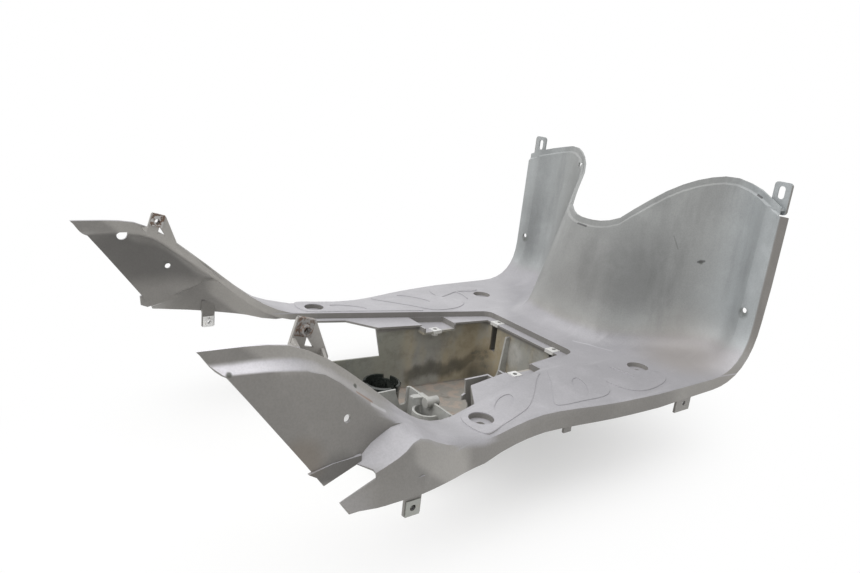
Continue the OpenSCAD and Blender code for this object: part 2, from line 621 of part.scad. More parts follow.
// Upright bracket inside the rail of a wing, on a foot that follows the rail
bracket_top = wing_at(0.666, -15.2, 1.059);
bracket_tilt = 15;
bracket_half = 7.5;
bracket_hole_in = 7;
bracket_reach = 15.2;
foot_rear = [-7.8, -20.5];
foot_front = [26.5, -32];
module on_bracket() {
    translate(bracket_top) rotate([90, 0, 0]) rotate(-bracket_tilt) children();
}
module bracket_rib(place, height) {
    translate([place[0], place[1], 0]) rotate([0, 90, 0]) linear_extrude(wall)
        polygon([[0, 0], [bracket_reach - 1, 0], [bracket_reach - 1, 1.5], [0, height]]);
}
module wing_bracket() {
    on_bracket() {
        translate([0, 0, -wall / 2]) linear_extrude(wall) difference() {
            polygon([foot_rear, foot_front, [25.3, -24], [bracket_half, 0], [-bracket_half, 0]]);
            translate([0, -bracket_hole_in]) circle(d = tab_hole_d);
            polygon([[3.6, -11.6], [11.5, -19.2], [3.9, -19.2]]);
        }
        translate([0, 0, -bracket_reach]) linear_extrude(bracket_reach)
            polygon([foot_rear, foot_front, foot_front + [0, wall], foot_rear + [0, wall]]);
        bracket_rib(foot_rear + [0.4, 0.3], 6.5);
        bracket_rib(foot_front + [-9, 4], 10);
    }
}

// Holes for side screws and slots in the lip
module side_holes() {
    translate(wing_at(0.588, 19.5, 0.484)) rotate([90, 0, 0]) bore(side_hole_d);
    translate([shield_reach, tread_half - 17.1, 68.8]) rotate([0, 90, 0]) bore(side_hole_d);
}
module left_lip_slot() {
    translate([shield_reach - 14, 87, shield_peak - 24]) cube([22, 8, 5.5]);
}
module left_wing_hole() {
    difference() {
        translate(wing_at(0.79, 5.5, 0.83)) rotate([90, 0, 0]) bore(11);
        translate(wing_at(0.79, 5.5, 0.83) + [-10, -20, 4]) cube([20, 40, 10]);
    }
}

module moulding() {
    difference() {
        union() {
            skin();
            difference() {
                union() {
                    well_shell();
                    lid_ledge();
                    both() lid_shelf();
                }
                both() lid_recess();
            }
            partitions();
            guard_plate();
            cable_boss();
            floor_fixings() floor_boss();
            corner_lip(left_lip);
            mirror([0, 1, 0]) corner_lip(right_lip);
            both() {
                difference() {
                    tread_pads();
                    pad_ovals();
                }
                opening_corner();
                top_tab();
                skirt_tab();
                waist_tab();
                leg_tab();
                wing_bracket();
            }
        }
        floor_fixings() floor_pocket();
        both() {
            side_holes();
            front_clip_hole();
        }
        left_wing_hole();
        left_lip_slot();
    }
}

// Spring clip pushed over the edge of a tab: the tab runs along +Y with its top at Z = 0
module spring_clip(w, l, under, hole_in, barrel) {
    barrel_h = 4.5;
    difference() {
        union() {
            translate([-w / 2, -clip_sheet, 0]) cube([w, l + clip_sheet, clip_sheet]);
            translate([-w / 2, -clip_sheet, -wall - clip_sheet]) cube([w, clip_sheet, wall + 2 * clip_sheet]);
            translate([-w / 2, -clip_sheet, -wall - clip_sheet]) cube([w, under + clip_sheet, clip_sheet]);
            if (barrel)
                translate([0, hole_in, -wall - barrel_h]) cylinder(d = clip_hole_d + 3, h = barrel_h - wall / 4);
        }
        translate([0, hole_in, 0]) bore(clip_hole_d);
    }
}

module mid_clip() {
    translate([mid_x, shelf_edge, shelf_z]) spring_clip(12, 11, 11, mid_hole_in, true);
}
module front_clip() {
    edge = well_front - front_lip;
    translate([edge, front_clip_y, ledge_top]) rotate(-90)
        spring_clip(13, opening_front - 0.5 - edge, 3.5, opening_front - 4 - edge, false);
}
module leg_clip() {
    translate([leg_tab[0], leg_tab[1] + wall, leg_tab_end]) rotate([90, 0, 180])
        spring_clip(13, 12.5, 12.5, leg_hole_in, true);
}
module bracket_clip() {
    on_bracket() translate([0, 0, wall / 2]) rotate(180)
        spring_clip(13, 12.5, 12.5, bracket_hole_in, true);
}

// Rubber cup standing on the floor of the well
cup_x = 19;
cup_y = divider_y + wall / 2 + cup_d / 2 + 0.25;
module cup() {
    r = cup_d / 2;
    translate([cup_x, cup_y, wall - well_depth]) {
        difference() {
            rotate_extrude() polygon([
                [4, 0], [r - 3, 0], [r - 1, 4], [r - 1, cup_height - 8], [r, cup_height - 6], [r, cup_height - 1],
                [r - 1, cup_height], [r - 1 - cup_wall, cup_height], [r - 1 - cup_wall, 6], [r - 6, 3], [4, 3]]);
            for (i = [0:2]) rotate(120 * i + 40) translate([r - 6, -4, cup_height - 5]) cube([12, 8, 12]);
        }
        for (i = [0:7]) rotate(45 * i) translate([r - 4.5, -1, 5]) cube([2.5, 2, cup_height - 12]);
    }
}

// Everything moves so that the origin is under the middle of the bounding box
function ahead(r, last) = max([for (c = [col_foot:col_foot + last]) max(inner[r][c][0], outer[r][c][0])]);
front_end = max([for (r = [row_wall:row_lip]) ahead(r, col_foot)]);
top_front = max([for (r = [row_lip:row_top]) ahead(r, col_flat)]);
rear_end = tread_rear - wing_length;
module placed() {
    translate([-(max(front_end, top_front, top_tab_x + wall) + rear_end) / 2, 0, well_depth]) children();
}

module floorboard() {
    color("dimgray") placed() moulding();
}
module mid_clips() {
    color("gainsboro") placed() both() mid_clip();
}
module front_clips() {
    color("gainsboro") placed() both() front_clip();
}
module leg_clips() {
    color("gainsboro") placed() both() leg_clip();
}
module bracket_clips() {
    color("rosybrown") placed() both() bracket_clip();
}
module rubber_cup() {
    color("black") placed() cup();
}

floorboard();
mid_clips();
front_clips();
leg_clips();
bracket_clips();
rubber_cup();
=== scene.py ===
"""Scooter floorboard: looks for the moulding, its spring clips and its rubber cup."""

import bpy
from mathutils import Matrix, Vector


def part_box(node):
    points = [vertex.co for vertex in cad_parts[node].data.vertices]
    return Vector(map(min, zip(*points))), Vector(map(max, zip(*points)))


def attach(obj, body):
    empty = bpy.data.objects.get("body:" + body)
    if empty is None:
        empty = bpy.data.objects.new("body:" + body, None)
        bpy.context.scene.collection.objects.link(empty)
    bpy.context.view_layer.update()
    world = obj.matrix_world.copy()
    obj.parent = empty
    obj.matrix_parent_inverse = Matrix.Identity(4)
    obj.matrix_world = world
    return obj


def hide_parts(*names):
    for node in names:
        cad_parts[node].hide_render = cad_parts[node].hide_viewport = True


bl_info = {
    "name": "Scooter floorboard",
    "version": (1, 0, 0),
    "blender": (4, 5, 0),
    "location": "View3D > Sidebar > Floorboard",
    "description": "Dresses a moulded scooter floorboard in worn textured plastic",
    "category": "Add Mesh",
}

import math

import bpy
from mathutils import Matrix, Vector

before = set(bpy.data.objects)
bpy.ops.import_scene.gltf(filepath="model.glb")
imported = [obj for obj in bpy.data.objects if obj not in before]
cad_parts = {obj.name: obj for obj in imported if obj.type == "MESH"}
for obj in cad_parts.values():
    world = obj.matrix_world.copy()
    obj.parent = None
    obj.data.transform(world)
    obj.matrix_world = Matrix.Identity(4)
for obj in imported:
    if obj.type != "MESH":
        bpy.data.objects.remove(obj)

# The moulding's own frame: X = 0 at the rear row of fixings and Z = 0 on the tread
WING_REACH = 0.264
REAR_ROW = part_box("floorboard")[0].x + WING_REACH
TREAD = 0.095

# Marks show only on the faces turned to this fixed place, behind and above the right wing
MARKED_SIDE = (-0.45, -0.60, 0.40)

# Pads of the tread, and the screw pockets in those of the left side, with a margin in the radius
PAD_HEIGHT = 0.0008
PAD_TOLERANCE = 0.00004
POCKETS = ((REAR_ROW, 0.1587), (REAR_ROW + 0.25, 0.1354))
POCKET_RADIUS = 0.0135

# Inner edge of the flat outer bands of the leg shield
BAND_EDGE = 0.1765
BAND_TOLERANCE = 0.0008

# Painted shade: small boxes behind the two front slots of the well, which darken what shows through them:
# middle in millimetres, the rest in metres
SLOT_MIDDLE = (211.4, 51, -29.5)
SLOT_SIZE = (0.012, 0.0135, 0.0365)
SLOT_WALL = 0.0012

# Merging and shading of the dressed copies
MERGE_DISTANCE = 1e-6
NORMAL_WEIGHT = 60
CUP_CREASE = math.radians(40)

# Studio
SENSOR_WIDTH = 36
FLOOR_SIZE = 30


def at(x, y, z):
    """A place on the moulding, from millimetres in its own frame."""
    return Vector((x / 1000 + REAR_ROW, y / 1000, z / 1000 + TREAD))


# Settings
class MouldingLook(bpy.types.PropertyGroup):
    """Colours and surface of the moulding"""

    plastic: bpy.props.FloatVectorProperty(
        name="Plastic", description="Colour of the moulded plastic",
        subtype="COLOR", size=3, default=(0.252, 0.242, 0.228), min=0, max=1)
    # Tread and shoulders: polish by feet together with painted top light
    shoulder_light_and_wear: bpy.props.FloatVectorProperty(
        name="Shoulders", description="Colour of the tread and the shoulders, polished by feet",
        subtype="COLOR", size=3, default=(0.40, 0.393, 0.415), min=0, max=1)
    # Bowl: a lighter copy of the plastic's colour, painted light for the faces turned to the lamps
    bowl: bpy.props.FloatVectorProperty(
        name="Leg shield", description="Colour inside the bowl of the leg shield",
        subtype="COLOR", size=3, default=(0.315, 0.322, 0.318), min=0, max=1)
    dust: bpy.props.FloatVectorProperty(
        name="Dust", description="Colour of the dried dust in the battery well",
        subtype="COLOR", size=3, default=(0.41, 0.365, 0.27), min=0, max=1)
    well: bpy.props.FloatVectorProperty(
        name="Well", description="Colour of the walls of the battery well",
        subtype="COLOR", size=3, default=(0.37, 0.368, 0.34), min=0, max=1)
    roughness: bpy.props.FloatProperty(
        name="Roughness", description="Roughness of the plastic's surface", default=0.46, min=0, max=1)
    grain: bpy.props.FloatProperty(
        name="Grain", description="Size of the moulded grain",
        default=0.0011, min=0.0003, max=0.005, unit="LENGTH", precision=5)
    crease_angle: bpy.props.FloatProperty(
        name="Crease", description="Edges sharper than this stay sharp",
        default=math.radians(38), min=0, max=math.pi, unit="ROTATION")


class ClipLook(bpy.types.PropertyGroup):
    """Colours of the spring clips"""

    zinc: bpy.props.FloatVectorProperty(
        name="Zinc", description="Colour of the plated clips",
        subtype="COLOR", size=3, default=(0.90, 0.90, 0.88), min=0, max=1)
    rust: bpy.props.FloatVectorProperty(
        name="Rust", description="Colour of the rusted clips",
        subtype="COLOR", size=3, default=(0.12, 0.084, 0.064), min=0, max=1)


class CupLook(bpy.types.PropertyGroup):
    """Colour of the rubber cup"""

    rubber: bpy.props.FloatVectorProperty(
        name="Rubber", description="Colour of the rubber cup",
        subtype="COLOR", size=3, default=(0.026, 0.030, 0.027), min=0, max=1)


class StudioSettings(bpy.types.PropertyGroup):
    """Camera and lights"""

    camera_place: bpy.props.FloatVectorProperty(
        name="Camera", description="Place of the camera",
        subtype="TRANSLATION", size=3, default=(-0.46438, -0.57984, 0.38226))
    camera_right: bpy.props.FloatVectorProperty(
        name="Camera right", description="Direction to the picture's right",
        subtype="DIRECTION", size=3, default=(0.80098, -0.58909, 0.10680))
    camera_ahead: bpy.props.FloatVectorProperty(
        name="Camera ahead", description="Direction in which the camera looks",
        subtype="DIRECTION", size=3, default=(0.59253, 0.75452, -0.28215))
    lens: bpy.props.FloatProperty(
        name="Lens", description="Focal length in millimetres, on a sensor 36 mm wide",
        default=30.14, min=10, max=200)
    sky: bpy.props.FloatProperty(
        name="Room light", description="Strength of the even light of the room",
        default=0.56, min=0, max=3)
    softbox: bpy.props.FloatProperty(
        name="Softbox", description="Power of the softbox overhead, in watts",
        default=24, min=0, max=200)
    window: bpy.props.FloatProperty(
        name="Window", description="Power of the window behind the wings, in watts",
        default=11, min=0, max=200)


# Materials
class Nodes:
    """Adds and joins the nodes of one tree."""

    def __init__(self, tree):
        self.tree = tree
        tree.nodes.clear()

    def node(self, kind, **settings):
        made = self.tree.nodes.new(kind)
        for key, value in settings.items():
            setattr(made, key, value)
        return made

    def join(self, source, target):
        self.tree.links.new(source, target)

    def feed(self, socket, value):
        """Joins another node's output to a socket, or sets the socket itself."""
        if isinstance(value, bpy.types.NodeSocket):
            self.join(value, socket)
        else:
            socket.default_value = value

    def math(self, operation, a, b=0.0):
        made = self.node("ShaderNodeMath", operation=operation)
        self.feed(made.inputs[0], a)
        self.feed(made.inputs[1], b)
        return made.outputs[0]

    def seen(self):
        """1 for what the camera, a reflection or glass shows, 0 for the light on other things."""
        path = self.node("ShaderNodeLightPath").outputs
        through = self.math("MAXIMUM", path["Is Glossy Ray"], path["Is Transmission Ray"])
        return self.math("MAXIMUM", path["Is Camera Ray"], through)


class Shading(Nodes):
    """Nodes of one material, with its shader joined to the output."""

    def __init__(self, name):
        self.material = bpy.data.materials.new(name)
        self.material.use_nodes = True
        super().__init__(self.material.node_tree)
        self.shader = self.node("ShaderNodeBsdfPrincipled")
        self.surface = self.node("ShaderNodeOutputMaterial").inputs["Surface"]
        self.join(self.shader.outputs[0], self.surface)
        self.place = self.node("ShaderNodeTexCoord").outputs["Object"]

    def give(self, quality, value):
        """Gives the shader a colour, a roughness or another quality."""
        self.feed(self.shader.inputs[quality], value)

    def coordinates(self):
        split = self.node("ShaderNodeSeparateXYZ")
        self.join(self.place, split.inputs[0])
        return split.outputs

    def noise(self, scale, detail, rough, stretch=(1, 1, 1), offset=(0, 0, 0)):
        mapping = self.node("ShaderNodeMapping")
        mapping.inputs["Location"].default_value = offset
        mapping.inputs["Scale"].default_value = stretch
        self.join(self.place, mapping.inputs["Vector"])
        made = self.node("ShaderNodeTexNoise")
        made.inputs["Scale"].default_value = scale
        made.inputs["Detail"].default_value = detail
        made.inputs["Roughness"].default_value = rough
        self.join(mapping.outputs[0], made.inputs["Vector"])
        return made.outputs["Fac"]

    def ramp(self, value, nothing, full):
        """0 at one value and beyond it, 1 at the other and beyond it, smooth between."""
        made = self.node("ShaderNodeMapRange", interpolation_type="SMOOTHSTEP")
        self.feed(made.inputs["Value"], value)
        made.inputs["From Min"].default_value = nothing
        made.inputs["From Max"].default_value = full
        return made.outputs["Result"]

    def product(self, *masks):
        """All masks and shares multiplied, which is 1 only where all of them are."""
        result = masks[0]
        for mask in masks[1:]:
            result = self.math("MULTIPLY", result, mask)
        return result

    def outside(self, mask):
        """1 where a mask is 0."""
        return self.math("SUBTRACT", 1.0, mask)

    def spot(self, centre, radius, core):
        """1 inside the core of a soft ball, 0 outside the ball."""
        away = self.node("ShaderNodeVectorMath", operation="DISTANCE")
        self.join(self.place, away.inputs[0])
        away.inputs[1].default_value = centre
        return self.ramp(away.outputs["Value"], radius, radius * core)

    def scratch(self, start, end, width, core=0.4):
        """1 along a line between two places, 0 beyond its width."""
        along = (end - start).normalized()
        offset = self.node("ShaderNodeVectorMath", operation="SUBTRACT")
        self.join(self.place, offset.inputs[0])
        offset.inputs[1].default_value = start
        reach = self.node("ShaderNodeVectorMath", operation="DOT_PRODUCT")
        self.join(offset.outputs[0], reach.inputs[0])
        reach.inputs[1].default_value = along
        ahead = self.math("MAXIMUM", reach.outputs["Value"], 0.0)
        held = self.math("MINIMUM", ahead, (end - start).length)
        nearest = self.node("ShaderNodeVectorMath", operation="SCALE")
        nearest.inputs[0].default_value = along
        self.join(held, nearest.inputs["Scale"])
        away = self.node("ShaderNodeVectorMath", operation="DISTANCE")
        self.join(offset.outputs[0], away.inputs[0])
        self.join(nearest.outputs[0], away.inputs[1])
        return self.ramp(away.outputs["Value"], width, width * core)

    def facing(self, axis, nothing, full):
        """1 where the surface's normal points far enough along an axis."""
        split = self.node("ShaderNodeSeparateXYZ")
        self.join(self.node("ShaderNodeNewGeometry").outputs["Normal"], split.inputs[0])
        return self.ramp(split.outputs[axis], nothing, full)

    def turned_to(self, target):
        """1 where the surface is turned to a place, 0 where it is turned away."""
        to_target = self.node("ShaderNodeVectorMath", operation="SUBTRACT")
        to_target.inputs[0].default_value = target
        self.join(self.place, to_target.inputs[1])
        along = self.node("ShaderNodeVectorMath", operation="DOT_PRODUCT")
        self.join(to_target.outputs[0], along.inputs[0])
        self.join(self.node("ShaderNodeNewGeometry").outputs["Normal"], along.inputs[1])
        return self.ramp(along.outputs["Value"], 0.0, 0.002)

    def blend(self, amount, a, b, kind="MIX"):
        """Mixes two colours. A Mix node has its colour sockets after those for numbers."""
        made = self.node("ShaderNodeMix", data_type="RGBA", blend_type=kind)
        self.feed(made.inputs[0], amount)
        for socket, value in ((made.inputs[6], a), (made.inputs[7], b)):
            if isinstance(value, bpy.types.NodeSocket):
                self.join(value, socket)
            else:
                socket.default_value = (*value[:3], 1)
        return made.outputs[2]

    def tint(self, colour, factors):
        """The colour times a factor for each of red, green and blue."""
        return self.blend(1.0, colour, factors, "MULTIPLY")

    def scale(self, amount, colour, factor):
        """The colour made lighter or darker by a factor, where a mask is 1."""
        return self.blend(amount, colour, self.tint(colour, (factor, factor, factor)))

    def bump(self, height, distance, strength, under=None):
        made = self.node("ShaderNodeBump")
        made.inputs["Distance"].default_value = distance
        made.inputs["Strength"].default_value = strength
        self.join(height, made.inputs["Height"])
        if under is not None:
            self.join(under, made.inputs["Normal"])
        return made.outputs[0]


class MouldedPlastic(Shading):
    """Grained grey plastic, polished where feet rub it, with painted top light, highlights and shade, old
    dust and marks.
    """

    def __init__(self, look):
        super().__init__("moulded_plastic")
        self.look = look
        x, self.y, z = self.coordinates()
        self.side = self.math("ABSOLUTE", self.y)
        self.ahead = self.math("SUBTRACT", x, REAR_ROW)
        self.height = self.math("SUBTRACT", z, TREAD)
        self.cloud = self.noise(5.5, 5, 0.6)
        self.mottle = self.noise(34, 6, 0.65)
        self.up = self.lit_and_worn_faces()
        self.inside = self.inside_of_well()
        colour = self.shield(look.plastic)
        colour = self.wings(colour)
        colour = self.tread(colour)
        colour = self.blotches(colour)
        colour = self.blend(self.inside, colour, self.well())
        colour = self.dirt(colour)
        self.give("Base Color", self.marks(colour))
        self.grain()

    def zone(self, *limits):
        """1 within all limits. Each is a measure's name, its value where the mask is 0, and where it is 1."""
        ramps = [self.ramp(getattr(self, name), nothing, full) for name, nothing, full in limits]
        return self.product(*ramps)

    def lit_and_worn_faces(self):
        """Faces that look up and the walls of the pads, apart from some parts: the mask of painted top light
        and of polish by feet.
        """
        # The pad walls count as tops, so painted light takes away their shade
        pad_wall = self.zone(("height", -0.0004, 0.0), ("height", 0.0012, 0.0009), ("ahead", -0.06, -0.05))
        up = self.math("MAXIMUM", self.facing("Z", 0.30, 0.66), pad_wall)
        lip = self.zone(("ahead", 0.24, 0.26), ("height", 0.07, 0.10))
        bracket = self.zone(("side", 0.178, 0.174), ("ahead", -0.12, -0.14), ("height", 0.060, 0.065))
        slope = self.zone(("ahead", -0.205, -0.175), ("ahead", -0.085, -0.115), ("height", 0.035, 0.055))
        leg = self.zone(("side", 0.203, 0.207), ("height", 0.022, 0.012), ("ahead", -0.12, -0.14))
        for dull in (lip, bracket, self.product(slope, 0.65), self.product(leg, 0.8)):
            up = self.product(up, self.outside(dull))
        return up

    def inside_of_well(self):
        """Faces of the well that look inwards, and all faces of its partitions."""
        partitions = self.zone(("side", 0.0710, 0.0700), ("height", -0.0935, -0.0930),
                               ("ahead", 0.1985, 0.1980))
        inwards = self.math("MAXIMUM", partitions, self.turned_to(at(100, 0, -40)))
        well = self.zone(("height", -0.0125, -0.0155), ("side", 0.106, 0.098),
                         ("ahead", 0.2065, 0.2035), ("ahead", -0.028, -0.026))
        return self.product(well, inwards)

    def shield(self, colour):
        """Bowl of the shield: painted light on the bowl and its outer part, painted shade by the tunnel and
        the outer band.
        """
        bowl = self.zone(("ahead", 0.215, 0.30), ("height", 0.0, 0.03))
        # Painted light: the bowl takes its lighter colour
        colour = self.blend(bowl, colour, self.look.bowl)
        # Painted shade in the hollow beside the tunnel, broken up by clouds, only on faces that look back
        hollow_shade = self.product(self.facing("X", 0.05, -0.1), self.spot(at(300, -62, 88), 0.082, 0.1),
                             self.zone(("cloud", 0.18, 0.42)))
        colour = self.scale(hollow_shade, colour, 0.66)
        # Painted shade in the valley beside the flat outer band
        valley_shade = self.product(bowl, self.zone(("side", 0.150, 0.170), ("side", 0.186, 0.173)))
        colour = self.scale(valley_shade, colour, 0.84)
        rim = self.product(bowl, self.zone(("side", 0.1945, 0.1960), ("mottle", 0.20, 0.40)))
        colour = self.blend(rim, colour, (0.19, 0.172, 0.155))
        knee = self.zone(("ahead", 0.22, 0.25), ("height", 0.055, 0.015))
        colour = self.scale(knee, colour, 1.35)
        # Painted light on the outer part of the bowl, less on the far side, with a blue-grey tint
        far_share = self.product(self.zone(("y", 0.0, 0.15)), 0.4)
        outer = self.product(bowl, self.zone(("side", 0.10, 0.165)), self.outside(far_share))
        colour = self.scale(outer, colour, 1.42)
        colour = self.blend(outer, colour, self.tint(colour, (0.965, 1.0, 1.035)))
        runs = self.noise(15, 6, 0.62, stretch=(1.5, 1.5, 0.3), offset=(0.5, 0.3, 0.7))
        return self.scale(self.product(bowl, self.ramp(runs, 0.46, 0.66), 0.8), colour, 0.78)

    def wings(self, colour):
        """Painted shade on the far wing's inner face, painted light on the rails, and a darker lip on the
        near wing.
        """
        # Painted shade on the inner face of the far wing
        far_wing_shade = self.zone(("y", 0.183, 0.190), ("ahead", -0.08, -0.13), ("height", 0.025, 0.05))
        colour = self.scale(far_wing_shade, colour, 0.55)
        self.rise = self.math("ADD", self.height, self.product(self.math("ADD", self.ahead, 0.066), 0.8))
        # Painted light on the rails, apart from the panels and the lit tops
        rail_light = self.zone(("side", 0.10, 0.14), ("rise", -0.028, -0.019), ("ahead", -0.03, -0.05))
        panel = self.zone(("side", 0.1905, 0.1925), ("ahead", -0.105, -0.120))
        for kept in (panel, self.product(self.up, 0.6)):
            rail_light = self.product(rail_light, self.outside(kept))
        colour = self.scale(rail_light, colour, 1.52)
        near_lip = self.zone(("y", -0.2015, -0.2030), ("height", 0.010, 0.014), ("height", 0.050, 0.042),
                             ("ahead", -0.24, -0.23), ("ahead", -0.145, -0.155))
        return self.scale(near_lip, colour, 0.62)

    def tread(self, colour):
        """Tread, ledges and shoulders, polished by feet, with painted top light and a painted highlight on
        the near wing's ledge.
        """
        # The tops take the shoulder colour, polish by feet and painted top light, with a painted highlight on
        # the near front shoulder
        shoulder_light_and_wear = self.scale(self.spot(at(345, -188, 12), 0.045, 0.2), self.look.shoulder_light_and_wear, 1.3)
        colour = self.blend(self.up, colour, shoulder_light_and_wear)
        # More painted top light on the far side of the tread and its shoulders
        far_tread_light = self.zone(("y", 0.02, 0.14), ("ahead", 0.24, 0.12), ("ahead", -0.06, -0.02))
        colour = self.scale(self.product(self.up, far_tread_light), colour, 1.16)
        # Painted top light on the near wing's ledge, and a painted highlight towards its tip
        near_wing = self.zone(("height", 0.002, 0.012), ("ahead", -0.02, -0.07), ("y", 0.15, 0.0))
        ledge_light = self.product(self.up, near_wing)
        colour = self.scale(ledge_light, colour, 1.22)
        return self.scale(self.product(ledge_light, self.zone(("ahead", -0.195, -0.235))), colour, 1.8)

    def blotches(self, colour):
        """Clouds, mottling and fine specks all over the plastic."""
        colour = self.scale(self.zone(("cloud", 0.38, 0.66)), colour, 0.84)
        colour = self.scale(self.product(self.zone(("mottle", 0.48, 0.72)), 0.45), colour, 1.22)
        speck = self.noise(620, 2, 0.6)
        return self.scale(self.ramp(speck, 0.40, 0.62), colour, 0.93)

    def well(self):
        """Grey walls with tan dust, a dark tide line on the far wall and grit on the floor."""
        drift = self.noise(16, 7, 0.62, stretch=(1.4, 1.4, 0.55), offset=(0.3, 0.1, 0.7))
        fine = self.noise(70, 6, 0.7, offset=(0.1, 0.8, 0.3))
        colour = self.blend(self.ramp(drift, 0.40, 0.62), self.look.well, self.look.dust)
        far_wall = self.zone(("y", 0.045, 0.06), ("height", -0.0895, -0.088))
        rear_part = self.product(far_wall, self.zone(("ahead", 0.10, 0.075)), 0.8)
        colour = self.blend(rear_part, colour, (0.27, 0.28, 0.25))
        # A darker far front corner, darkened together with the tide line
        corner = self.spot(at(200, 60, -84), 0.034, 0.3)
        stain = self.math("MAXIMUM", self.tide_line(far_wall, drift), corner)
        colour = self.blend(self.product(stain, 0.78), colour, (0.105, 0.10, 0.08))
        tan_dust = self.product(self.spot(at(203, 50, -50), 0.05, 0.2), self.ramp(fine, 0.36, 0.6), 0.7)
        colour = self.blend(tan_dust, colour, (0.46, 0.38, 0.25))
        beside_gusset = self.product(self.spot(at(203, 13, -36), 0.021, 0.5), 0.7)
        colour = self.blend(beside_gusset, colour, (0.52, 0.525, 0.51))

        # Floor with pinkish grit and dark crumbs
        floor = self.zone(("height", -0.0895, -0.0915))
        grit = self.blend(self.ramp(fine, 0.46, 0.60), (0.31, 0.295, 0.27), (0.47, 0.395, 0.34))
        colour = self.blend(floor, colour, grit)
        crumbs = self.product(floor, self.zone(("mottle", 0.55, 0.68)))
        colour = self.blend(crumbs, colour, (0.17, 0.15, 0.13))

        # Bare grey partitions and gusset
        partitions = self.zone(("ahead", 0.080, 0.072), ("y", 0.062, 0.050))
        gusset = self.product(self.spot(at(196, 20, -36), 0.045, 0.8), self.zone(("ahead", 0.2029, 0.2022)))
        bare = self.math("MAXIMUM", partitions, gusset)
        bare = self.product(bare, self.zone(("height", -0.0905, -0.0870)), 0.85)
        colour = self.blend(bare, colour, (0.46, 0.465, 0.45))
        return self.scale(self.ramp(fine, 0.42, 0.66), colour, 0.80)

    def tide_line(self, wall, drift):
        """A ragged line on a wall of the well, which rises towards the front."""
        offset = self.math("SUBTRACT", self.ahead, 0.10)
        line = self.math("SUBTRACT", self.product(offset, offset, 2.6), 0.077)
        wander = self.product(self.math("SUBTRACT", drift, 0.5), 0.05)
        away = self.math("ABSOLUTE", self.math("ADD", self.math("SUBTRACT", self.height, line), wander))
        return self.product(wall, self.ramp(away, 0.015, 0.004), self.zone(("ahead", 0.085, 0.10)))

    def dirt(self, colour):
        """Pale rubbed streaks on the faces that look up, and brown dirt near the tread's front corner."""
        streak = self.noise(26, 5, 0.6, stretch=(0.35, 2.6, 1.0), offset=(1.7, 0.2, 0.4))
        rubbed = self.product(self.ramp(streak, 0.58, 0.74), self.up, 0.3)
        colour = self.blend(rubbed, colour, (0.52, 0.51, 0.53))
        brown = self.product(self.spot(at(330, -140, 3), 0.075, 0.2), self.zone(("cloud", 0.40, 0.55)), 0.5)
        return self.blend(brown, colour, (0.34, 0.305, 0.275))

    def marks(self, colour):
        """Spots, scratches and rubs of the photograph, in their places."""
        marked_side = self.turned_to(MARKED_SIDE)
        ragged = self.zone(("mottle", 0.30, 0.50))
        # Near-black and brown spots in given places
        near_black = (0.075, 0.08, 0.065)
        brown = (0.17, 0.135, 0.10)
        spots = [
            ((-151.4, -184.6, 70.7), 2.5, near_black, 0.95),
            ((-245.7, -187.9, 96.9), 2.7, near_black, 0.9),
            ((363.0, -115.4, 107.9), 3.6, near_black, 0.9),
            ((-167.0, 195.8, 55.4), 7.5, near_black, 0.7),
            ((363.0, -180.4, 65.5), 8.5, near_black, 0.65),
            ((363.0, 180.4, 65.5), 8.0, near_black, 0.65),
            ((-200.0, -200.0, 30.0), 24.0, brown, 0.45),
        ]
        for centre, radius, tone, amount in spots:
            spot = self.spot(at(*centre), radius / 1000, 0.4)
            colour = self.blend(self.product(spot, marked_side, ragged, amount), colour, tone)
        dark = (0.05, 0.05, 0.052)
        red = (0.25, 0.15, 0.10)
        pale = (0.66, 0.66, 0.69)
        scratches = [
            ((-152.5, -189.5, 68.5), (-138.7, -189.1, 57.8), 1.4, red, 0.7),
            ((-139.7, -190.7, 57.2), (-126.4, -188.9, 48.0), 1.9, pale, 0.4),
            ((237.9, -48.9, 0.3), (259.4, -90.9, 0.3), 1.5, pale, 0.35),
            ((342.7, -85.7, 133.4), (346.0, -92.5, 118.9), 0.9, dark, 0.35),
            ((361.8, -112.2, 107.2), (364.3, -118.4, 109.4), 2.0, dark, 0.75),
            ((376.4, -158.0, 196.6), (373.7, -164.8, 194.6), 1.7, dark, 0.9),
            ((278.6, 8.9, 129.9), (278.0, -5.0, 129.3), 1.6, dark, 0.85),
        ]
        for start, end, width, tone, amount in scratches:
            line = self.scratch(at(*start), at(*end), width / 1000)
            colour = self.blend(self.product(line, marked_side, amount), colour, tone)
        return colour

    def grain(self):
        """Moulded grain and slight waves, smoother where the plastic is worn."""
        worn = self.ramp(self.noise(9, 5, 0.6, offset=(0.9, 0.4, 0.2)), 0.42, 0.64)
        rough = self.math("SUBTRACT", self.look.roughness, self.product(worn, 0.07))
        rough = self.math("SUBTRACT", rough, self.product(self.up, 0.06))
        self.give("Roughness", self.math("ADD", rough, self.product(self.inside, 0.25)))
        fine = self.bump(self.noise(1 / self.look.grain, 3, 0.6), 0.00014, 0.6)
        self.give("Normal", self.bump(self.noise(22, 2, 0.5), 0.0009, 0.3, under=fine))
        self.give("Specular IOR Level", 0.5)


